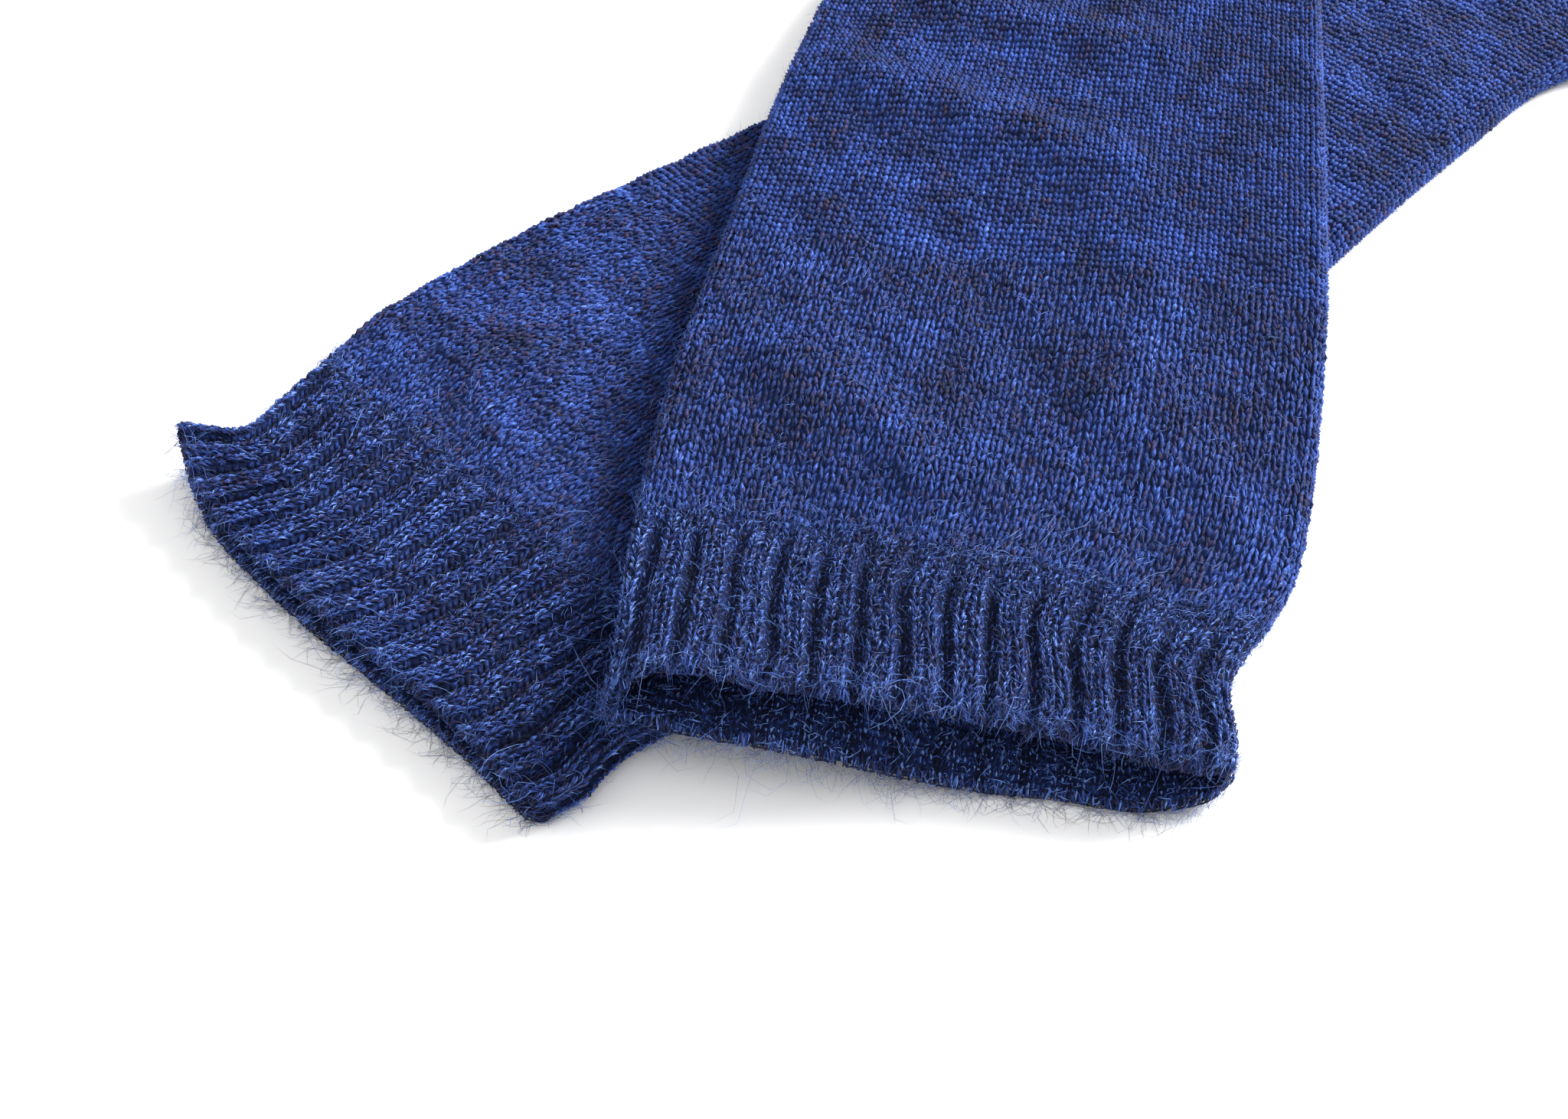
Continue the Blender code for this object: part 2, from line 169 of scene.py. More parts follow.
UNDER = {
    "name": "under",
    "hem_middle": (-130.852, -165.645),
    "heading": 43.5,
    "thumb_side": -1,
    "seed": 2,
    "sparser": 2,
    "stray_hairs": 90,
    "inner_depth": 5,
    "shade": (0.55, 0.19, 0.035, 0.05),
    "painted_light_left": 0.0,
    "wales": (
        ("stitches", KNIT_WALES, 4, 0.080, 0.0),
        ("purl_stitches", PURL_WALES, 2, 0.090, 0.26),
    ),
    "edges": (
        (0, 45.4, 39.8),
        (5, 43.4, 40.6),
        (10, 41.4, 39.6),
        (16, 42.2, 39.3),
        (22, 44.0, 40.5),
        (30, 46.3, 41.8),
        (38, 48.6, 42.2),
        (52, 49.7, 42.4),
        (66, 49.8, 42.6),
        (90, 47.7, 43.2),
        (112, 45.4, 43.4),
        (140, 44.6, 42.4),
        (156, 44.0, 41.2),
        (172, 42.8, 39.8),
        (195, 40.6, 38.4),
        (222, 38.4, 37.9),
        (231, 38.4, 39.8),
        (252, 39.8, 40.0),
        (276, 40.8, 40.0),
        (302, 41.6, 41.0),
        (337, 41.0, 41.0),
    ),
    "hem": (
        (-41, 2.8),
        (-38, 0.7),
        (-33, 0.3),
        (-27, 0.5),
        (-12, 0.0),
        (3, -0.9),
        (18, -1.2),
        (33, 0.2),
        (42, 3.4),
        (47, 6.2),
    ),
    "lip_back": 0.5,
    "mouth": (
        (-40, 0.0),
        (-20, 0.6),
        (10, 0.9),
        (30, 0.6),
        (46, 0.0),
    ),
    "mouth_depth": 20.0,
    "curl": (46, 0, 3.2),
    "ridges": (
        (44, 44, 50, 22, 7.0, 1.2),
        (86, 40, 74, 24, 7.0, 1.0),
        (200, -24, 214, -6, 7.0, 1.4),
        (246, 22, 236, -16, 7.0, 1.6),
        (300, -18, 284, 20, 8.0, 1.4),
    ),
}


def ease(x):
    """0 below 0, 1 above 1, and smooth between."""
    x = np.clip(x, 0, 1)
    return x * x * (3 - 2 * x)


def along_table(rows, column, x):
    """A smooth curve through one column of a table, held level past its ends."""
    places = np.array([row[0] for row in rows], float)
    values = np.array([row[column] for row in rows], float)
    slopes = np.gradient(values, places)
    x = np.clip(x, places[0], places[-1])
    i = np.clip(np.searchsorted(places, x) - 1, 0, len(places) - 2)
    gap = places[i + 1] - places[i]
    t = (x - places[i]) / gap
    start = (1 + 2 * t) * (1 - t) ** 2 * values[i] + t * (1 - t) ** 2 * gap * slopes[i]
    end = t * t * (3 - 2 * t) * values[i + 1] + t * t * (t - 1) * gap * slopes[i + 1]
    return start + end


def half_widths(mitten, along):
    """To the left and right of the middle line, drawn in round the closed end."""
    turn = np.arcsin(np.clip((along - TIP_START) / (LENGTH - TIP_START), 0, 1))
    sides = (along_table(mitten["edges"], column, along) for column in (1, 2))
    return [FOLD + (side - FOLD) * np.cos(turn) for side in sides]


def half_width(mitten, along):
    return sum(half_widths(mitten, along)) / 2


def to_table(mitten, along, across):
    """Where a place on a mitten lies on the table."""
    heading = math.radians(mitten["heading"])
    x = mitten["hem_middle"][0] + along * math.cos(heading) - across * math.sin(heading)
    y = mitten["hem_middle"][1] + along * math.sin(heading) + across * math.cos(heading)
    return x, y


def inside(mitten, x, y):
    """How far a point of the table lies inside a mitten's outline, and its place along it."""
    heading = math.radians(mitten["heading"])
    x = x - mitten["hem_middle"][0]
    y = y - mitten["hem_middle"][1]
    along = x * math.cos(heading) + y * math.sin(heading)
    across = y * math.cos(heading) - x * math.sin(heading)
    left, right = (along_table(mitten["edges"], column, along) for column in (1, 2))
    depth = np.minimum.reduce([left - across, across + right, along, LENGTH - along])
    return depth, along


def rest_height(mitten, x, y):
    """Height of what a mitten lies on: the table, or the mitten beneath it."""
    if mitten is UNDER:
        return 0 * x
    depth, along = inside(UNDER, x, y)
    top = 2 * FOLD + CLEAR + RIB_HEIGHT * (1 - ease((along - CUFF) / RIB_STEP))
    return top * ease((depth + DRAPE_LEAD + DRAPE_RUN) / DRAPE_RUN)


def rise(mitten, along, across):
    """How far the upper layer stands above the plain flat tube."""
    left, right = half_widths(mitten, along)
    level = 1 - np.minimum(np.abs(across / np.where(across > 0, left, right)), 1) ** 4
    height = PUFF * ease((along - CUFF) / PUFF_IN) * ease((LENGTH - PUFF_STOP - along) / PUFF_OUT)
    for row in mitten["ridges"]:
        start, crest = np.array(row[:2], float), np.array(row[2:4], float) - row[:2]
        share = ((along - start[0]) * crest[0] + (across - start[1]) * crest[1]) / (crest @ crest)
        share = np.clip(share, 0, 1)
        away = np.hypot(along - start[0] - share * crest[0], across - start[1] - share * crest[1])
        height = height + row[5] * np.exp(-((away / row[4]) ** 2))
    if mitten is UNDER:
        depth, _ = inside(FRONT, *to_table(mitten, along, across))
        height = height * ease((-depth - BARE_GAP) / BARE_RUN)
    gape = along_table(mitten["mouth"], 1, across) * (1 - ease(along / mitten["mouth_depth"]))
    return height * level + gape


def waver(x, y):
    """The small unevenness of hand-washed knitting."""
    return WAVER * (np.sin(0.61 * x + 0.23 * y) + np.sin(0.34 * y - 0.41 * x + 2) * np.sin(0.17 * x))


def around(way, half):
    """Place across the flat part, and the angle the cloth faces, at a share of the way round."""
    flat, turn = 2 * (half - FOLD), math.pi * FOLD
    way = np.mod(way, 1) * 2 * (flat + turn)
    second = way >= flat + turn
    way = way - second * (flat + turn)
    place = np.where(second, -1, 1) * np.clip(1 - 2 * way / flat, -1, 1)
    return place, math.pi * (0.5 + second + np.clip((way - flat) / turn, 0, 1))


def tube(mitten, along, way, lift):
    """Points of a hand or cuff in metres; lift is how far they lie outside its outer face."""
    left, right = half_widths(mitten, along)
    place, angle = around(way, (left + right) / 2)
    middle = (left - right) / 2
    reach = (left + right) / 2 - FOLD
    end = np.sqrt(1 - np.clip((along - (LENGTH - FOLD)) / FOLD, 0, 1) ** 2)
    radius = (FOLD + lift - FOLD_DRAW * np.abs(np.cos(angle))) * end
    across = middle + reach * place + radius * np.cos(angle)
    upper = np.maximum(np.sin(angle), 0)
    fade = np.maximum(1 - along / HEM_FADE, 0)
    side = np.minimum(np.abs(across - middle) / (reach + FOLD), 1)
    back = along_table(mitten["hem"], 1, across) + mitten["lip_back"] * upper * (1 - side ** 3)
    x, y = to_table(mitten, along + back * fade, across)
    corner, start, height = mitten["curl"]
    z = FOLD + radius * np.sin(angle) + rest_height(mitten, x, y)
    z = z + height * ease(1 - np.hypot(across - corner, along - start) / CURL_REACH)
    uneven = waver(x, y) * ease((along - WAVER_START) / WAVER_RUN)
    z = z + upper * (rise(mitten, along, across) + uneven)
    return np.stack([x, y, z], axis=-1) * MM


def cuff(mitten, along, way, lift):
    """The tube with its ribs, which fade out where it rests; lift under -WALL is the inner face."""
    _, angle = around(way, half_width(mitten, CUFF / 2))
    off = np.abs(np.mod(way * RIBS - RIB_SHIFT, 1) - 0.5)
    share = 1 - ease((off - RIB_TOP) / RIB_SLOPE) - GROOVE * (1 - ease(off / GROOVE_HALF))
    relief = (RIB_HEIGHT + RIB_TROUGH) * share - RIB_TROUGH
    relief = (relief - 0.5 * np.abs(np.cos(angle))) * ease((np.sin(angle) + RESTING) / RESTING)
    relief = relief * np.clip(1 + lift / WALL, 0, 1)
    # the ribs end raggedly, and each sways a little on its way
    melt = ease((along - CUFF + RIB_FADE + 1.2 * np.sin(211 * way) + 1.2) / RIB_FADE)
    sway = 0.035 / RIBS * np.sin(0.3 * along + 57 * way) * ease(along / 5) * (1 - melt)
    return tube(mitten, along, way + sway, lift + relief * (1 - melt))


def frames(surface, along, way):
    """Points of a surface, with the unit directions along, round and out, and its length round."""
    point = surface(along, way, 0)
    ahead = surface(along + STEP, way, 0) - surface(along - STEP, way, 0)
    over = surface(along, way + TURN, 0) - surface(along, way - TURN, 0)
    out = surface(along, way, STEP) - point
    length = np.linalg.norm(over, axis=-1) / (2 * TURN)
    return point, *(v / np.linalg.norm(v, axis=-1, keepdims=True) for v in (ahead, over, out)), length


def volume(points, triangles):
    """Six times the volume inside a closed mesh, below 0 where its faces point inwards."""
    a, b, c = (points[triangles[:, i]] for i in range(3))
    return np.einsum("ij,ij->i", a, np.cross(b, c)).sum()


def add_piece(mesh, name, look):
    """Smooth, with its finish, riding on the one body there is."""
    mesh.shade_smooth()
    piece = bpy.data.objects.new(name, mesh)
    bpy.context.scene.collection.objects.link(piece)
    mesh.materials.append(look)
    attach(piece, "root")
    return piece


def wall(name, surface, rows, count, scale, look, ends=None):
    """One closed wall of cloth. rows are (along, lift) from the far outer face, round the near
    edge, to the far inner one. ends are the (along, lift) of two closing points."""
    way = (np.arange(count) + 0.5) / count
    rings = [surface(np.full(count, a, float), way, lift) for a, lift in rows]
    points = np.concatenate(rings)
    faces, corners = [], []
    runs = len(rows) if ends is None else len(rows) - 1
    for i in range(runs):
        low, high = i * count, (i + 1) % len(rows) * count
        rise_a, rise_b = rows[i][0] / scale[1], rows[(i + 1) % len(rows)][0] / scale[1]
        for j in range(count):
            k = (j + 1) % count
            faces.append((low + j, low + k, high + k, high + j))
            u, v = j / count * scale[0], (j + 1) / count * scale[0]
            corners += [(u, rise_a), (v, rise_a), (v, rise_b), (u, rise_b)]
    if ends is not None:
        for (a, lift), ring in ((ends[0], 0), (ends[1], len(rows) - 1)):
            middle = rings[ring].mean(axis=0)
            tip = surface(np.full(2, a, float), np.array([0.25, 0.75]), lift).mean(axis=0)
            points = np.concatenate([points, [np.where([1, 1, 0], tip, middle)]])
            for j in range(count):
                pair = (ring * count + j, ring * count + (j + 1) % count)
                faces.append((len(points) - 1, *(pair if ring == 0 else pair[::-1])[::-1]))
                corners += [(0.5, a / scale[1])] * 3
    mesh = bpy.data.meshes.new(name)
    mesh.from_pydata(points.tolist(), [], faces)
    mesh.uv_layers.new(name="stitch").data.foreach_set("uv", np.array(corners).ravel())
    triangles = [face[:3] for face in faces] + [(face[0], *face[2:]) for face in faces if len(face) > 3]
    if volume(points, np.array(triangles)) < 0:
        mesh.flip_normals()
    return add_piece(mesh, name, look)


def strands(name, lines, radii, across, out, sides, tones, look):
    """Closed tapered bodies joined in one mesh, each through its own points: yarn and fibres.
    radii are across and out at each point between the ends, tones are two values for each body."""
    count, points_each = lines.shape[:2]
    rings = points_each - 2
    angle = 2 * math.pi * (np.arange(sides) / sides + 0.25)
    body = lines[:, 1:-1, None]
    body = body + across[:, :, None] * (radii[..., 0, None, None] * np.cos(angle)[:, None])
    body = body + out[:, :, None] * (radii[..., 1, None, None] * np.sin(angle)[:, None])
    body = body.reshape(count, rings * sides, 3)
    points = np.concatenate([lines[:, :1], body, lines[:, -1:]], axis=1)
    points[..., 2] = np.maximum(points[..., 2], FLOOR_GAP * MM)
    last = rings * sides + 1
    # the faces of one body, and each corner's place on it: rings along, sides round
    one, marks = [], []
    for j in range(sides):
        k = (j + 1) % sides
        one.append((0, 1 + k, 1 + j))
        marks.append(((0, j), (1, j + 1), (1, j)))
        for r in range(rings - 1):
            low, high = 1 + r * sides, 1 + (r + 1) * sides
            one += [(low + j, low + k, high + k), (low + j, high + k, high + j)]
            marks.append(((r + 1, j), (r + 1, j + 1), (r + 2, j + 1)))
            marks.append(((r + 1, j), (r + 2, j + 1), (r + 2, j)))
        one.append((last, last - sides + j, last - sides + k))
        marks.append(((rings + 1, j), (rings, j), (rings, j + 1)))
    one = np.array(one)
    if volume(points[0] - points[0].mean(axis=0), one) < 0:
        one = one[:, ::-1]
        marks = [mark[::-1] for mark in marks]
    faces = (one[None] + (np.arange(count) * (last + 1))[:, None, None]).reshape(-1, 3)
    mesh = bpy.data.meshes.new(name)
    mesh.vertices.add(count * (last + 1))
    mesh.vertices.foreach_set("co", points.astype(np.float32).ravel())
    mesh.loops.add(faces.size)
    mesh.loops.foreach_set("vertex_index", faces.astype(np.int32).ravel())
    mesh.polygons.add(len(faces))
    mesh.polygons.foreach_set("loop_start", np.arange(0, faces.size, 3, dtype=np.int32))
    # each body lies at its own place in the pattern of the wool
    marks = np.array(marks, float).reshape(-1, 2) / (rings + 1, sides)
    shifts = np.stack([np.arange(count) * 0.37 % 61, np.arange(count) * 7.31 % 53], axis=-1)
    uv = marks[None] * (1.6, 2.4) + shifts[:, None]
    mesh.uv_layers.new(name="fibre").data.foreach_set("uv", uv.astype(np.float32).ravel())
    colours = np.ones((count, last + 1, 4), np.float32)
    colours[..., 0] = tones[:, 0, None]
    colours[..., 1] = tones[:, 1, None]
    colours[..., 2] = 0
    light_and_brown = mesh.color_attributes.new("yarn", "FLOAT_COLOR", "POINT")
    light_and_brown.data.foreach_set("color", colours.ravel())
    mesh.update(calc_edges=True)
    return add_piece(mesh, name, look)


def heather(rng, point, courses, level, uneven, patchy, browner=0.0):
    """How light and how brown each strand is: the yarn's lengths differ, in soft patches."""
    x, y = point[:, 0] / MM, point[:, 1] / MM
    patch = np.sin(0.55 * x + 1.7 * np.sin(0.21 * y)) * np.sin(0.47 * y + 1.3 * np.sin(0.33 * x))
    wide = np.sin(0.17 * x + 0.11 * y + 1.4 * np.sin(0.07 * y))
    wide = wide * np.sin(0.16 * y - 0.12 * x + 1.6 * np.sin(0.06 * x))
    patch = patch + 1.5 * wide
    patch = patch + 0.4 * np.sin(1.31 * x - 0.4 * y + 2 * np.sin(0.7 * y)) * np.sin(1.13 * y + 0.2 * x)
    light = level + patchy * (patch + np.sin(courses * 12.9898 + np.floor(courses) * 4.1))
    light = light + uneven * rng.standard_normal(len(point))
    brown = rng.random(len(point)) - 0.06 * patch + browner
    return np.clip(np.stack([light, brown], axis=-1), 0, 1)


def legs(name, surface, along, way, rng, wale, course, bundle, thick, shade):
    """Two legs for each stitch, a V that opens away from the hem, each a bundle of strands. thick
    is a strand's radius as a share of the stitch's width; its ends dive under the next stitches."""
    stitch = len(along)
    along, way = np.repeat(along, 2 * bundle), np.repeat(way, 2 * bundle)
    side = np.tile(np.repeat([-1.0, 1.0], bundle), stitch)[:, None]
    count = len(along)
    point, ahead, over, out, length = frames(surface, along, way)
    across = (wale * length)[:, None]  # width of a stitch here, in metres
    place = np.array([-1.0, 0.05, 1.0])
    whole = np.repeat(rng.standard_normal((4, 2 * stitch, 1)), bundle, axis=1)
    loose = rng.standard_normal((5, count, 1)) * (1 if bundle > 1 else 0.3)
    reach = 0.82 if bundle > 3 else 0.98  # a thick bundle's strands end sooner
    s = (place * (reach + 0.05 * whole[0]) + 0.1 * whole[1] + 0.2 * loose[0]) * course * MM
    lean = 0.225 + (0.14 + 0.02 * whole[2] + 0.05 * loose[1]) * place + 0.06 * loose[2]
    t = across * (side * lean + 0.045 * whole[3])
    n = (LEG_LIFT - 0.5 * place ** 2 + 0.04 * whole[0] + 0.08 * loose[3]) * MM
    lines = point[:, None] + s[..., None] * ahead[:, None] + t[..., None] * over[:, None]
    lines = lines + n[..., None] * out[:, None]
    radii = np.maximum(thick * (1 + 0.2 * loose[4]), 0.4 * thick)[:, :, None] * np.array([1.0, 0.8])
    tones = heather(rng, point, along / course, *shade)
    radii = radii * across[:, None]
    return strands(name, lines, radii, over[:, None], out[:, None], 3, tones, yarn)


def fuzz(name, surface, along, way, rng, length, lean, thick, bends=2, curl=0.7, follow=0.0):
    """Fibres that stand off the yarn: rooted in it, each bent and ending in a point. follow is the
    share of them that run more or less along the legs of the stitches."""
    count = len(along)
    point, ahead, over, out, _ = frames(surface, along, way)
    heading = rng.uniform(0, 2 * math.pi, count)
    heading = np.where(rng.random(count) < follow, rng.choice([0.5, -0.5, 2.65, 3.65], count), heading)
    heading = heading + rng.normal(0, 0.3, count)
    reach = length * rng.lognormal(0, 0.4, count) * MM
    lean = np.radians(lean + rng.normal(0, 14, count))
    turning = rng.normal(0, curl, count)
    lines = [point - 0.2 * MM * out]
    for step in range(bends + 1):
        flat = np.cos(heading)[:, None] * ahead + np.sin(heading)[:, None] * over
        way_on = np.cos(lean)[:, None] * flat + np.sin(lean)[:, None] * out
        lines.append(lines[-1] + (reach / (bends + 1))[:, None] * way_on)
        heading = heading + turning + rng.normal(0, 0.3 * curl, count)
        lean = lean - np.abs(rng.normal(0, 0.35, count))
    lines = np.stack(lines, axis=1)
    run = lines[:, 2:] - lines[:, :-2]
    side = np.cross(run, np.array([0.13, 0.21, 1.0]))
    side = side / np.linalg.norm(side, axis=-1, keepdims=True)
    up = np.cross(side, run)
    up = up / np.linalg.norm(up, axis=-1, keepdims=True)
    radii = np.full((count, bends, 2), thick / 2 * MM) * np.linspace(1, 0.7, bends)[:, None]
    tones = np.stack([rng.uniform(0.3, 1.0, count), rng.random(count)], axis=-1)
    return strands(name, lines, radii, side, up, 3, tones, fibres)


def hem_loops(name, surface, rng, wales, bundle, thick):
    """The cast-on edge: the yarn of each wale goes round the rim from the outer face to the inner."""
    way = (np.repeat(np.arange(wales), bundle) + rng.uniform(0, 1, wales * bundle)) / wales
    slant = rng.normal(0, 0.8, (len(way), 1)) / wales
    deep = rng.uniform(0.6, 1.6, (len(way), 1))
    along = deep * np.array([1.0, 0.25, -0.35, 0.25, 1.0])
    lift = np.array([-0.45, 0.1, -WALL / 2, -WALL - 0.1, -WALL + 0.4])
    lift = lift + rng.normal(0, 0.06, (len(way), 5))
    ways = way[:, None] + slant * np.array([-1.0, -0.5, 0.0, 0.5, 1.0])
    lines = surface(along.ravel(), ways.ravel(), lift.ravel()).reshape(len(way), 5, 3)
    run = lines[:, 2:] - lines[:, :-2]
    run = run / np.linalg.norm(run, axis=-1, keepdims=True)
    _, _, over, _, _ = frames(surface, np.full(len(way), 0.5), way)
    side = over[:, None] - np.einsum("nij,nj->ni", run, over)[..., None] * run
    side = side / np.linalg.norm(side, axis=-1, keepdims=True)
    radii = np.full((len(way), 3, 2), thick * MM)
    # the cast-on yarn gets a darker tone than the cuff's, painted shade of the rim
    tones = heather(rng, lines[:, 2], way * 31, 0.3, 0.2, 0.03)
    return strands(name, lines, radii, side, np.cross(side, run), 3, tones, yarn)


def tree(name):
    """A new material and its nodes."""
    look = bpy.data.materials.new(name)
    look.use_nodes = True
    return look, look.node_tree


def ramp(nodes, rows):
    """A colour ramp from (place, colour) rows."""
    node = nodes.new("ShaderNodeValToRGB")
    stops = node.color_ramp.elements
    while len(stops) < len(rows):
        stops.new(0.5)
    for stop, (place, colour) in zip(stops, rows):
        stop.position = place
        stop.color = (*colour, 1.0)
    return node


def noise(nodes, links, place, scale, detail, roughness=0.5):
    """Cloudy streaks or patches."""
    node = nodes.new("ShaderNodeTexNoise")
    for socket, value in (("Scale", scale), ("Detail", detail), ("Roughness", roughness)):
        node.inputs[socket].default_value = value
    links.new(place, node.inputs["Vector"])
    return node


def ranged(nodes, links, value, start, end, low, high):
    """A value moved from the range start to end into the range low to high."""
    node = nodes.new("ShaderNodeMapRange")
    for socket, limit in (("From Min", start), ("From Max", end), ("To Min", low), ("To Max", high)):
        node.inputs[socket].default_value = limit
    links.new(value, node.inputs["Value"])
    return node.outputs["Result"]


def steps(nodes, links, value, *sums):
    """Applies (operation, other) one after another. other is a number, a socket or nothing."""
    for operation, other in sums:
        node = nodes.new("ShaderNodeMath")
        node.operation = operation
        links.new(value, node.inputs[0])
        if isinstance(other, bpy.types.NodeSocket):
            links.new(other, node.inputs[1])
        elif other is not None:
            node.inputs[1].default_value = other
        value = node.outputs[0]
    return value


# Dyed wool: dark and royal blue fibres, with a few of brown and of pale blue, in streaks
wool = bpy.data.node_groups.new("dyed_wool", "ShaderNodeTree")
for socket, kind, put in (
        ("Fibre", "NodeSocketVector", "INPUT"),
        ("Light", "NodeSocketFloat", "INPUT"),
        ("Brown", "NodeSocketFloat", "INPUT"),
        ("Color", "NodeSocketColor", "OUTPUT"),
        ("Height", "NodeSocketFloat", "OUTPUT")):
    wool.interface.new_socket(name=socket, in_out=put, socket_type=kind)
nodes, links = wool.nodes, wool.links
given, made = nodes.new("NodeGroupInput"), nodes.new("NodeGroupOutput")
streaks = noise(nodes, links, given.outputs["Fibre"], 1.0, 3.0, 0.65)
spread = ranged(nodes, links, streaks.outputs["Fac"], 0.25, 0.75, -0.34, 0.34)
place = nodes.new("ShaderNodeTexCoord")
patches = noise(nodes, links, place.outputs["Object"], 130.0, 3.0)
uneven = ranged(nodes, links, patches.outputs["Fac"], 0.3, 0.7, -0.10, 0.10)
tone = steps(nodes, links, given.outputs["Light"], ("ADD", uneven), ("ADD", spread))
blues = ramp(nodes, (
    (0.00, (0.003, 0.004, 0.011)),
    (0.28, (0.008, 0.014, 0.052)),
    (0.50, (0.020, 0.045, 0.205)),
    (0.74, (0.048, 0.118, 0.500)),
    (1.00, (0.200, 0.350, 0.820)),
))
links.new(tone, blues.inputs["Fac"])
browns = ramp(nodes, ((0.8, (0.0, 0.0, 0.0)), (1.0, (0.8, 0.8, 0.8))))
other = nodes.new("ShaderNodeSeparateColor")
links.new(streaks.outputs["Color"], other.inputs["Color"])
drift = ranged(nodes, links, other.outputs["Green"], 0.25, 0.75, -0.4, 0.4)
links.new(steps(nodes, links, given.outputs["Brown"], ("ADD", drift)), browns.inputs["Fac"])
mixed = nodes.new("ShaderNodeMix")
mixed.data_type = "RGBA"
mixed.inputs["B"].default_value = (0.056, 0.030, 0.058, 1.0)
links.new(browns.outputs["Color"], mixed.inputs["Factor"])
links.new(blues.outputs["Color"], mixed.inputs["A"])
links.new(mixed.outputs["Result"], made.inputs["Color"])
links.new(streaks.outputs["Fac"], made.inputs["Height"])

# Where no stitch is modelled, the same V of each stitch as a height
knit_pattern = bpy.data.node_groups.new("plain_knitting", "ShaderNodeTree")
knit_pattern.interface.new_socket(name="Stitch", in_out="INPUT", socket_type="NodeSocketVector")
knit_pattern.interface.new_socket(name="Height", in_out="OUTPUT", socket_type="NodeSocketFloat")
nodes, links = knit_pattern.nodes, knit_pattern.links
given, made = nodes.new("NodeGroupInput"), nodes.new("NodeGroupOutput")
split = nodes.new("ShaderNodeSeparateXYZ")
links.new(given.outputs["Stitch"], split.inputs["Vector"])
off = steps(nodes, links, split.outputs["X"], ("FRACT", None), ("SUBTRACT", 0.5), ("ABSOLUTE", None))
leg = steps(nodes, links, off, ("MULTIPLY", 2.0), ("MULTIPLY", math.pi), ("SINE", None))
slope = steps(nodes, links, off, ("MULTIPLY", -1.2))
loop = steps(nodes, links, split.outputs["Y"], ("ADD", slope), ("FRACT", None), ("MULTIPLY", math.pi),
             ("SINE", None), ("MULTIPLY", 0.7), ("ADD", 0.3))
links.new(steps(nodes, links, leg, ("MULTIPLY", loop)), made.inputs["Height"])


def wool_look(name, uv_map, stretch):
    """A new material whose wool colours follow a UV map, stretched by this much."""
    look, shades = tree(name)
    nodes, links = shades.nodes, shades.links
    spot = nodes.new("ShaderNodeUVMap")
    spot.uv_map = uv_map
    drawn = nodes.new("ShaderNodeMapping")
    drawn.inputs["Scale"].default_value = stretch
    links.new(spot.outputs["UV"], drawn.inputs["Vector"])
    dyed = nodes.new("ShaderNodeGroup")
    dyed.node_tree = wool
    links.new(drawn.outputs["Vector"], dyed.inputs["Fibre"])
    return look, nodes, links, spot.outputs["UV"], dyed


def soft_finish(nodes, links, height, depth, strength, roughness, shine, sheen, sheen_roughness):
    """Wool is rough and hardly shines, and its fuzz glows a little bluer at a slant."""
    shader = nodes["Principled BSDF"]
    bump = nodes.new("ShaderNodeBump")
    bump.inputs["Strength"].default_value = strength
    bump.inputs["Distance"].default_value = depth * MM
    links.new(height, bump.inputs["Height"])
    links.new(bump.outputs["Normal"], shader.inputs["Normal"])
    for socket, value in (
            ("Roughness", roughness),
            ("Specular IOR Level", shine),
            ("Sheen Weight", sheen),
            ("Sheen Roughness", sheen_roughness),
            ("Sheen Tint", (0.45, 0.58, 1.0, 1.0))):
        shader.inputs[socket].default_value = value


def yarn_look(name, stretch, painted_glint, sheen):
    """Yarn or fibres: the wool colours follow each strand, which has its own light and brown; the third
    number makes them lighter, a painted highlight.
    """
    look, nodes, links, _, dyed = wool_look(name, "fibre", stretch)
    strand = nodes.new("ShaderNodeAttribute")
    strand.attribute_name = "yarn"
    parts = nodes.new("ShaderNodeSeparateColor")
    links.new(strand.outputs["Color"], parts.inputs["Color"])
    light = steps(nodes, links, parts.outputs["Red"], ("ADD", painted_glint))
    links.new(light, dyed.inputs["Light"])
    links.new(parts.outputs["Green"], dyed.inputs["Brown"])
    links.new(dyed.outputs["Color"], nodes["Principled BSDF"].inputs["Base Color"])
    soft_finish(nodes, links, dyed.outputs["Height"], 0.12, 0.7, 0.75, 0.15, sheen, 0.45)
    return look


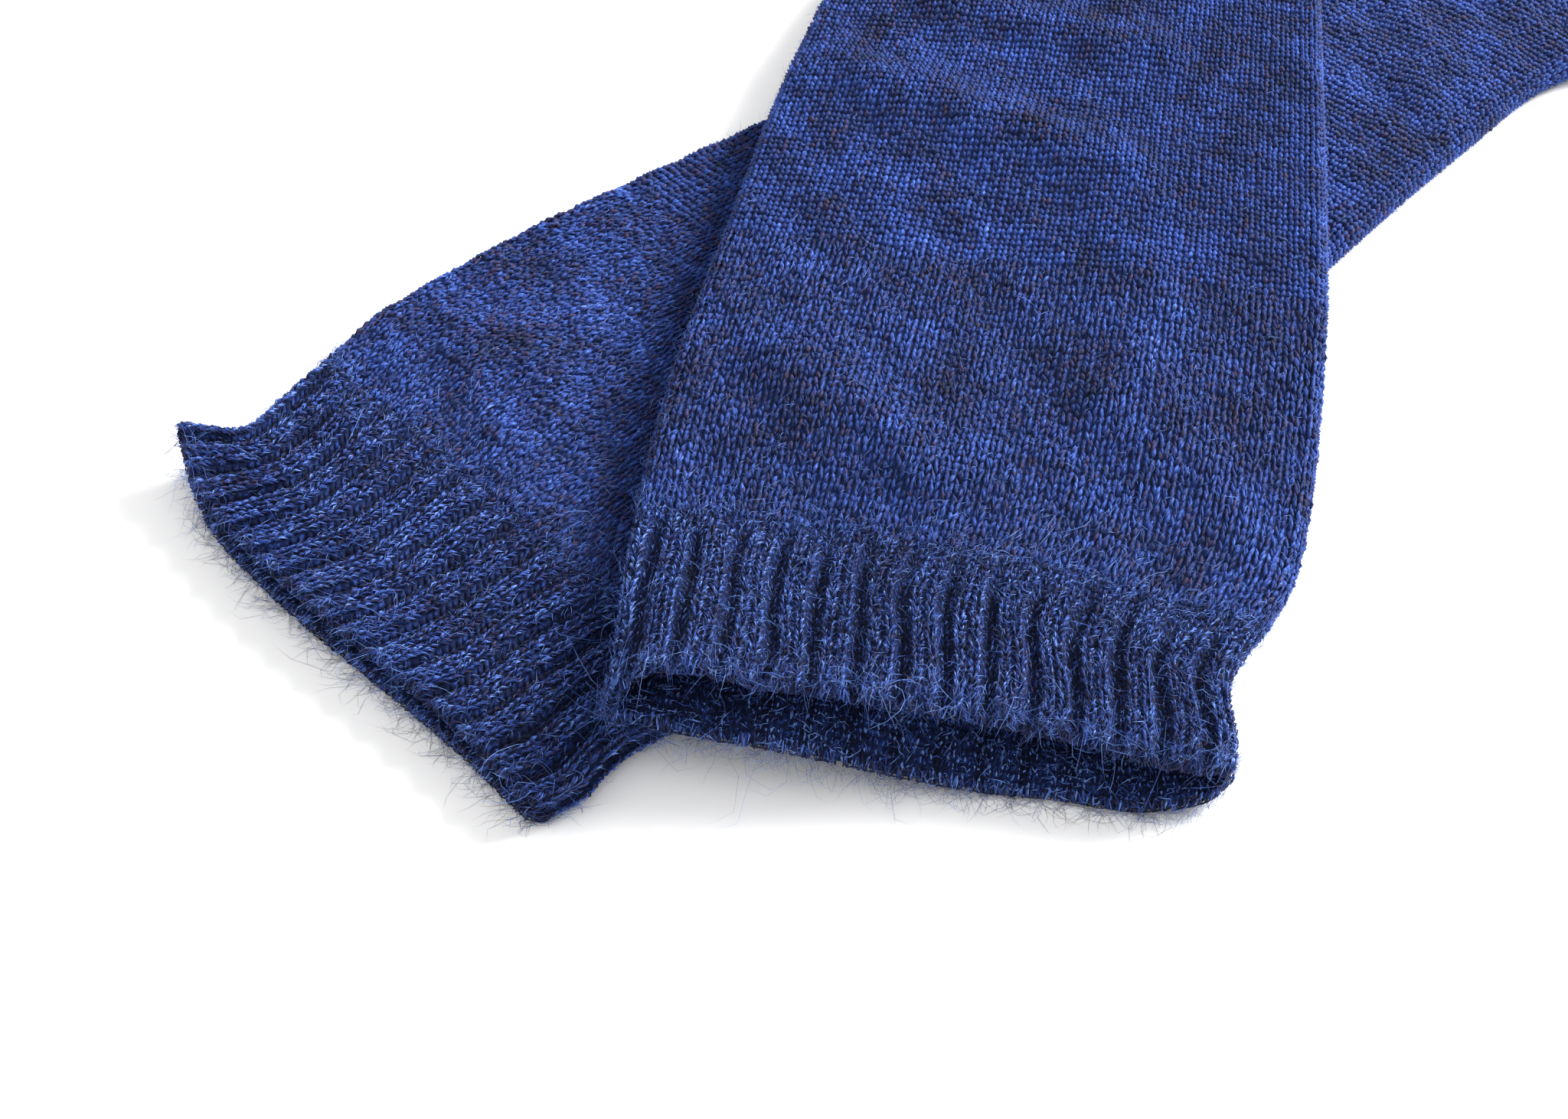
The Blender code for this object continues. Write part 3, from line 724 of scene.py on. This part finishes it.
def cloth_look(name, wall_shade, gap, purl_shade=0.0):
    """The body of the knitting between and behind its stitches, which also shows from below. Its wool
    is painted darker by the first number, as shade behind the stitches; the colour given next is
    painted shade between the stitches, and the last number is how much darker the purl wales of a rib
    are painted, as shade in their troughs."""
    look, nodes, links, stitch, dyed = wool_look(name, "stitch", (3.0, 1.6, 1.0))
    patch = noise(nodes, links, stitch, 0.9, 2.0)
    place = nodes.new("ShaderNodeSeparateXYZ")
    links.new(stitch, place.inputs["Vector"])
    # a rib is four stitches wide, and the painted shade of its purl wales fades out before the ribs end
    off = steps(nodes, links, place.outputs["X"], ("MULTIPLY", 0.25), ("ADD", 0.25), ("FRACT", None),
                ("SUBTRACT", 0.5), ("ABSOLUTE", None))
    painted_purl_shade = ranged(nodes, links, off, 0.22, 0.10, 0.0, purl_shade)
    ribbed = ranged(nodes, links, place.outputs["Y"], (CUFF - 2) / RIB_COURSE, (CUFF - 9) / RIB_COURSE,
                    0.0, 1.0)
    shaded = steps(nodes, links, painted_purl_shade, ("MULTIPLY", ribbed))
    light = steps(nodes, links, patch.outputs["Fac"], ("SUBTRACT", wall_shade), ("SUBTRACT", shaded))
    links.new(light, dyed.inputs["Light"])
    links.new(patch.outputs["Fac"], dyed.inputs["Brown"])
    knitted = nodes.new("ShaderNodeGroup")
    knitted.node_tree = knit_pattern
    links.new(stitch, knitted.inputs["Stitch"])
    # painted shade: where the knit pattern is low, between the stitches, the colour goes to the dark
    # gap colour
    gap_shade_mix = nodes.new("ShaderNodeMix")
    gap_shade_mix.data_type = "RGBA"
    gap_shade_mix.inputs["A"].default_value = (*gap, 1.0)
    links.new(knitted.outputs["Height"], gap_shade_mix.inputs["Factor"])
    links.new(dyed.outputs["Color"], gap_shade_mix.inputs["B"])
    links.new(gap_shade_mix.outputs["Result"], nodes["Principled BSDF"].inputs["Base Color"])
    soft_finish(nodes, links, knitted.outputs["Height"], 0.5, 1.0, 0.85, 0.06, 0.03, 0.5)
    return look


# painted shade: the ribbed cloth is darkened behind and between its stitches, and more in its troughs
rib_cloth = cloth_look("rib_cloth", 0.16, (0.008, 0.014, 0.050), 0.32)
yarn = yarn_look("yarn", (0.9, 4.5, 1.0), 0.0, 0.12)
# the fibres are painted lighter than the yarn, a painted highlight of their glint
fibres = yarn_look("fibres", (0.5, 0.5, 1.0), 0.1, 0.12)

CUFF_FUZZ = (
    # piece, count, length, lean, thickness, bends, curl, share along the stitches, share at the hem
    ("fibres", 6500, 1.6, 6, 0.08, 1, 0.5, 0.8, 0.0),
    ("halo", 2600, 2.8, 18, 0.045, 2, 0.9, 0.1, 0.5),
)
RIB_SPREAD = 0.46  # how far from a rib's middle its fibres are rooted, in ribs
LOWER_HAIRS = 1400  # at the lower layer's hem
INNER_HAIRS = 200  # on each millimetre of the inner face


def visible_ways(count, mitten, along):
    """The shares of the way round that face up or to the side, on a tube of this width."""
    way = (np.arange(count) + 0.5) / count
    _, angle = around(way, half_width(mitten, along))
    return way[np.sin(angle) > FUZZ_END]


def every_stitch(courses, ways):
    """The place along and round of each stitch, course by course."""
    return [grid.ravel() for grid in np.meshgrid(courses, ways)]


def hidden(mitten, along, way):
    """Where the front mitten lies well over the under one."""
    if mitten is FRONT:
        return np.zeros(len(along), bool)
    point = tube(mitten, along, way, 0)
    depth, _ = inside(FRONT, point[:, 0] / MM, point[:, 1] / MM)
    return depth > HIDDEN_DEPTH


for mitten in (UNDER, FRONT):
    name = mitten["name"] + "_cuff"
    rng = np.random.default_rng(10 + mitten["seed"])
    half = half_width(mitten, CUFF / 2)
    top = CUFF - SEAM / 2

    def surface(along, way, lift):
        return cuff(mitten, along, way, lift)

    def lining(along, way, lift):
        return cuff(mitten, along, way, -WALL - lift)

    rows = [(a, -RIB_DEPTH) for a in np.linspace(top, HEM_ROUND, 16)]
    for degrees in (-40, 0, 40):
        turn = math.radians(degrees)
        lift = -RIB_DEPTH - (WALL - RIB_DEPTH) / 2 * (1 + math.sin(turn))
        rows.append((HEM_ROUND * (1 - math.cos(turn)), lift))
    rows += [(a, -WALL) for a in np.linspace(HEM_ROUND, top, 16)]
    knit = wall(name + "_knit", surface, rows, 12 * RIBS, (4 * RIBS, RIB_COURSE), rib_cloth)
    # two knit wales on each rib, and the purl ones between the ribs
    for part, places, bundle, thick, purl_wale_shade in mitten["wales"]:
        ways = np.concatenate([(np.arange(RIBS) + 0.5 + RIB_SHIFT + place) / RIBS for place in places])
        _, angle = around(ways, half)
        ways = ways[np.sin(angle) > STITCHES_END]
        a, w = every_stitch(np.arange(FIRST_COURSE, top, RIB_COURSE), ways)
        seen = ~hidden(mitten, a, w)
        across, _ = around(w[seen], half)
        light, *others = mitten["shade"]
        # the front cuff's left end is painted lighter, standing in for the light it catches
        light = light + mitten["painted_light_left"] * ease((across - PAINTED_LIGHT_FROM) / PAINTED_LIGHT_RUN)
        # the yarn of the sunk purl wales is painted darker, as shade in the troughs between the ribs
        shade = (np.repeat(light - purl_wale_shade, 2 * bundle), *others)
        legs(f"{name}_{part}", surface, a[seen], w[seen], rng,
                                RIB_WALE, RIB_COURSE, bundle, thick, shade)
    # the inner face of the lower layer shows through the mouth; its yarn is painted much lighter,
    # standing in for the light that falls into the mouth
    ways = (np.arange(4 * RIBS) + 0.5) / (4 * RIBS)
    _, angle = around(ways, half)
    depth = mitten["inner_depth"]
    a, w = every_stitch(np.arange(FIRST_COURSE, depth, RIB_COURSE), ways[np.sin(angle) < INNER_FACE])
    legs(name + "_inner_stitches", lining, a, w, rng, wale=0.25 / RIBS,
                            course=RIB_COURSE, bundle=3, thick=0.12, shade=(0.80, 0.28, 0.03))
    hem_loops(name + "_cast_on", surface, rng, 4 * RIBS, bundle=5,
                                 thick=0.1)
    # lying fibres all over, and a halo of fine curled ones, more of them at the hem
    for part, count, length, lean, thick, bends, curl, follow, hem in CUFF_FUZZ:
        count = count // mitten["sparser"]
        a = rng.uniform(-0.2, top + 2, count) * rng.choice([1.0, 0.05], count, p=[1 - hem, hem])
        w = rng.choice(visible_ways(RIBS, mitten, CUFF / 2), count)
        w = w + (rng.uniform(-RIB_SPREAD, RIB_SPREAD, count) + RIB_SHIFT) / RIBS
        seen = ~hidden(mitten, a, w)
        fuzz(f"{name}_{part}", surface, a[seen], w[seen], rng,
                                length, lean, thick, bends, curl, follow)
    a, w = rng.uniform(-0.4, 0.8, LOWER_HAIRS), rng.uniform(0.5, 1.0, LOWER_HAIRS)
    fuzz(name + "_lower_halo", surface, a, w, rng,
                            length=4.0, lean=18, thick=0.036, bends=2, curl=0.8)
    count = INNER_HAIRS * depth
    a, w = rng.uniform(-0.4, depth, count), rng.uniform(0.5, 1.0, count)
    fuzz(name + "_inner_fibres", lining, a, w, rng,
                            length=1.9, lean=14, thick=0.09, bends=1)
    # a few long hairs stray from the hem and the forearm
    count = mitten["stray_hairs"]
    a = rng.uniform(-0.5, 1.4 * CUFF, count) * rng.choice([1.0, 0.1], count)
    w = rng.choice(visible_ways(4 * RIBS, mitten, CUFF / 2), count)
    w = w + rng.uniform(-0.5, 0.5, count) / (4 * RIBS)
    seen = ~hidden(mitten, a, w)
    fuzz(name + "_stray_hairs", surface, a[seen], w[seen], rng,
                            length=8.0, lean=18, thick=0.06, bends=6, curl=0.3)
    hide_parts(name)

# Hands
# The hand of each mitten is knitted on from the cuff in plain stitch: one long tube from forearm
# to fingertips, closed at its end. It lies flat, its two layers on each other, in soft creases.
WALES = 110  # all round
COURSE = 1.3
PLAIN_DEPTH = 0.36  # how far the wall's outer face lies under the plain surface
FOREARM = 80.0  # a place along whose width stands for the hand's
TIP_HALF = 41.0  # half the width where the round tip starts, as in the tables of edges
TIP_RINGS = range(8, 88, 8)  # degrees round the tip
THUMB_ROOT = (230.0, 274.0)
ROOT_SIDE = 40.0
CUT_IN = 0.3
CUTTER_WIDTH, CUTTER_HEIGHT = 20.0, 30.0
CAMERA = (-74.152, -350.145, 214.6)
CAMERA_DOWN = 46.8  # degrees below level
PICTURE_WIDE, PICTURE_HIGH = 0.38, 0.27  # half of the picture at a distance of 1, and a margin
FINER_END = 88.0  # past this the stitches are simpler ones
HAND_STITCHES = (
    # piece, finer, strands in a leg, their radius in stitches, uneven, browner
    ("forearm_stitches", True, 3, 0.165, 0.09, 0.03),
    ("palm_stitches", False, 1, 0.35, 0.05, -0.07),
)
HAND_FUZZ = (
    # piece, count, length, lean, thickness, bends, curl, share along the stitches
    ("fibres", 7500, 1.8, 6, 0.08, 1, 0.5, 0.7),
    ("halo", 1800, 2.8, 20, 0.05, 2, 0.9, 0.0),
)
EDGE_HAIRS = 1300
EDGE_END = 200.0
SIDE_FOLDS = [0.48, 0.98]  # their shares of the way round
EDGE_SPREAD = 0.016

# painted shade: the plain cloth is darkened behind and between its stitches
plain_cloth = cloth_look("plain_cloth", 0.06, (0.012, 0.022, 0.085))


def at_thumb(mitten, along, way):
    """Where the thumb leaves the hand, its side fold is open."""
    _, angle = around(way, half_width(mitten, along))
    toward = np.cos(angle) * mitten["thumb_side"] > 0.2
    return toward & (along > THUMB_ROOT[0]) & (along < THUMB_ROOT[1])


def in_photo(point):
    """Whether a point is where the photograph shows it, and so gets the finer stitches."""
    x, y, z = (point[:, i] / MM for i in range(3))
    x, y, z = x - CAMERA[0], y - CAMERA[1], CAMERA[2] - z
    down = math.radians(CAMERA_DOWN)
    deep = y * math.cos(down) + z * math.sin(down)
    high = y * math.sin(down) - z * math.cos(down)
    return (np.abs(x / deep) < PICTURE_WIDE) & (high / deep < PICTURE_HIGH)


for mitten in (UNDER, FRONT):
    name = mitten["name"] + "_hand"
    rng = np.random.default_rng(20 + mitten["seed"])

    def surface(along, way, lift):
        return tube(mitten, along, way, lift)

    near = CUFF + SEAM / 2
    tip = [TIP_START + (LENGTH - TIP_START) * math.sin(math.radians(a)) for a in TIP_RINGS]
    outer = [*np.arange(near, TIP_START, 4.0), *tip]
    inner = [*np.arange(near, TIP_START, 8.0), *(min(a, LENGTH - WALL - 0.3) for a in tip[::2])]
    rows = [(a, -PLAIN_DEPTH) for a in outer[::-1]] + [(a, -WALL) for a in inner]
    knit = wall(name + "_knit", surface, rows, 96, (WALES, COURSE), plain_cloth,
                ends=((LENGTH - 0.02, -PLAIN_DEPTH), (LENGTH - WALL, -WALL)))
    # a box cuts the side fold away where the thumb is picked up
    depth = ROOT_SIDE - FOLD + CUT_IN
    side = mitten["thumb_side"] * (depth + CUTTER_WIDTH / 2)
    x, y = to_table(mitten, sum(THUMB_ROOT) / 2, side)
    bpy.ops.mesh.primitive_cube_add(size=MM, location=(x * MM, y * MM, 0))
    cutter = bpy.context.object
    cutter.scale = (THUMB_ROOT[1] - THUMB_ROOT[0], CUTTER_WIDTH, CUTTER_HEIGHT)
    cutter.rotation_euler.z = math.radians(mitten["heading"])
    cut = knit.modifiers.new("thumb_hole", "BOOLEAN")
    cut.operation = "DIFFERENCE"
    cut.object = cutter
    bpy.ops.object.select_all(action="DESELECT")
    knit.select_set(True)
    bpy.context.view_layer.objects.active = knit
    bpy.ops.object.modifier_apply(modifier=cut.name)
    bpy.data.objects.remove(cutter, do_unlink=True)
    bpy.ops.object.select_all(action="DESELECT")
    # stitches in straight wales, closed over the end by dropping those past its outline
    ways = visible_ways(WALES, mitten, FOREARM)
    a, w = every_stitch(np.arange(near + 0.1, LENGTH - 1.5, COURSE), ways)
    place_there, angle_there = around(w, half_width(mitten, np.full(len(w), TIP_START)))
    flat_part = np.abs(np.cos(angle_there)) < 0.01
    closing = (a > TIP_START) & flat_part
    half_here = half_width(mitten, a)
    share = place_there * (TIP_HALF - FOLD) / (half_here - FOLD)
    width = 2 * (half_here - FOLD)
    way_tip = (1 - share) / 2 * width / (2 * (width + math.pi * FOLD))
    w = np.where(closing, way_tip, w)
    keep = ~(closing & (np.abs(share) > 1))
    keep &= ~hidden(mitten, a, w) & ~at_thumb(mitten, a, w)
    a, w = a[keep], w[keep]
    in_view = in_photo(tube(mitten, a, w, 0)) & (a < FINER_END)
    for part, finer, bundle, thick, uneven, browner in HAND_STITCHES:
        pick = in_view == finer
        legs(f"{name}_{part}", surface, a[pick], w[pick], rng,
                                1 / WALES, COURSE, bundle, thick, (0.47, uneven, 0.04, browner))
    # lying fibres and a halo, denser near the cuff
    for part, count, length, lean, thick, bends, curl, follow in HAND_FUZZ:
        a = near - 1 + (LENGTH - near) * rng.uniform(0, 1, count) ** 2.4
        w = rng.choice(visible_ways(4 * RIBS, mitten, FOREARM), count)
        w = w + rng.uniform(-0.5, 0.5, count) / (4 * RIBS)
        seen = ~hidden(mitten, a, w) & ~at_thumb(mitten, a, w)
        fuzz(f"{name}_{part}", surface, a[seen], w[seen], rng,
                                length, lean, thick, bends, curl, follow)
    # hairs that stand out from the side folds
    a = rng.uniform(near - 2, EDGE_END, EDGE_HAIRS)
    w = rng.choice(SIDE_FOLDS, EDGE_HAIRS) + rng.uniform(-EDGE_SPREAD, EDGE_SPREAD, EDGE_HAIRS)
    seen = ~hidden(mitten, a, w)
    fuzz(name + "_edge_halo", surface, a[seen], w[seen], rng,
                            length=2.4, lean=14, thick=0.045, bends=1, curl=0.9)
    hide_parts(name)
    widths = np.array([4 * half_width(mitten, float(a)) for a in range(int(CUFF), int(LENGTH))])

# Thumbs
# Each thumb is picked up along the side of the hand and knitted out in plain stitch, a small tube
# of its own that leans away from the hand and is closed at its end.
THUMB_ANGLE = 40.0
THUMB_REACH = 30.0
THUMB_HALF = 15.5
THUMB_STRAIGHT = 10.0
THUMB_TIP = 16.0
THUMB_WALES = 38
THUMB_LENGTH = THUMB_REACH + THUMB_STRAIGHT + THUMB_TIP
THUMB_RINGS = range(10, 88, 11)  # degrees round its tip
ROOT_OUT = 0.6  # how far outside the hand's side fold it starts to spread
ROOT_DEPTH = FOLD - CUT_IN - SEAM + ROOT_OUT  # how far its wall reaches into the hole


def thumb(mitten, along, way, lift):
    """Points of a thumb in metres, from its root along the hand to its tip."""
    side = mitten["thumb_side"]
    angle = math.radians(THUMB_ANGLE)
    share = np.clip(along / THUMB_REACH, 0, 1)
    low, high = THUMB_ROOT[0] + SEAM, THUMB_ROOT[1] - SEAM
    past = np.clip((along - THUMB_REACH - THUMB_STRAIGHT) / THUMB_TIP, 0, 1)
    half = (high - low) / 2 * (1 - share) + THUMB_HALF * share
    half = FOLD + (half - FOLD) * np.sqrt(1 - past ** 2)
    place, facing = around(way, half)
    end = np.sqrt(1 - np.clip((along - (THUMB_LENGTH - FOLD)) / FOLD, 0, 1) ** 2)
    radius = (FOLD + lift) * end
    off = (half - FOLD) * place + radius * np.cos(facing)
    root_a = (low + high) / 2 - off
    root_b = side * (ROOT_SIDE + ROOT_OUT) + side * np.minimum(along, 0)
    far = np.maximum(along, THUMB_REACH)
    out_a = (low + high) / 2 + far * math.cos(angle) - off * math.sin(angle)
    out_b = side * (ROOT_SIDE + ROOT_OUT + far * math.sin(angle) + off * math.cos(angle))
    x, y = to_table(mitten, root_a * (1 - share) + out_a * share, root_b * (1 - share) + out_b * share)
    return np.stack([x, y, FOLD + radius * np.sin(facing) + 0 * x], axis=-1) * MM


for mitten in (UNDER, FRONT):
    name = mitten["name"] + "_thumb"
    rng = np.random.default_rng(30 + mitten["seed"])

    def surface(along, way, lift):
        return thumb(mitten, along, way, lift)

    tip = [THUMB_LENGTH - THUMB_TIP * (1 - math.sin(math.radians(a))) for a in THUMB_RINGS]
    outer = [-ROOT_DEPTH, *np.arange(0, THUMB_REACH + THUMB_STRAIGHT, 2.5), *tip]
    inner = [-ROOT_DEPTH, *np.arange(0, THUMB_REACH + THUMB_STRAIGHT, 5.0)]
    inner += [min(a, THUMB_LENGTH - WALL - 0.3) for a in tip[::2]]
    rows = [(a, -PLAIN_DEPTH) for a in outer[::-1]] + [(a, -WALL) for a in inner]
    knit = wall(name + "_knit", surface, rows, 48, (THUMB_WALES, COURSE), plain_cloth,
                ends=((THUMB_LENGTH - 0.02, -PLAIN_DEPTH), (THUMB_LENGTH - WALL, -WALL)))
    ways = (np.arange(THUMB_WALES) + 0.5) / THUMB_WALES
    a, w = every_stitch(np.arange(0.2, THUMB_LENGTH - 1, COURSE), ways)
    _, facing = around(w, THUMB_HALF)
    keep = np.sin(facing) > STITCHES_END
    stitches = legs(name + "_stitches", surface, a[keep], w[keep], rng,
                    1 / THUMB_WALES, COURSE, bundle=1, thick=0.35, shade=(0.47, 0.05, 0.04))
    a, w = rng.uniform(0, THUMB_LENGTH - 2, 500), rng.uniform(-0.05, 0.55, 500)
    halo = fuzz(name + "_halo", surface, a, w, rng, length=2.4, lean=20, thick=0.06, bends=1)
    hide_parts(name)

# Table
# A plain white table top, smooth and matt, and wide enough to fill the picture. The mittens lie
# loose on it.
bpy.ops.mesh.primitive_plane_add(size=4, location=(0, 0, 0))
table = bpy.context.object
table.name = "table"
white, shades = tree("white_table")
paint = shades.nodes["Principled BSDF"]
paint.inputs["Base Color"].default_value = (0.97, 0.97, 0.97, 1)
paint.inputs["Roughness"].default_value = 0.7
table.data.materials.append(white)

# Light and camera
# Soft daylight comes from a large window behind and to the right, and the whole room is white.
sky = bpy.data.worlds.new("room")
sky.use_nodes = True
sky.node_tree.nodes["Background"].inputs["Color"].default_value = (1.0, 1.0, 1.0, 1)
sky.node_tree.nodes["Background"].inputs["Strength"].default_value = 1.02
bpy.context.scene.world = sky
window = bpy.data.lights.new("window", "AREA")
window.shape = "RECTANGLE"
window.size, window.size_y = 1.5, 1.4
window.energy = 330
lamp = bpy.data.objects.new("window", window)
lamp.location = (2.80, 1.55, 1.63)
bpy.context.scene.collection.objects.link(lamp)
lamp.rotation_euler = (math.radians(63), 0, math.radians(119))

camera = bpy.data.objects.new("camera", bpy.data.cameras.new("camera"))
camera.data.lens = 50
camera.data.sensor_width = 36
camera.data.clip_start = 0.01
camera.location = [value * MM for value in CAMERA]
camera.rotation_euler = (math.radians(90 - CAMERA_DOWN), 0, 0)
bpy.context.scene.collection.objects.link(camera)
bpy.context.scene.camera = camera
bpy.context.scene.view_settings.view_transform = "Standard"
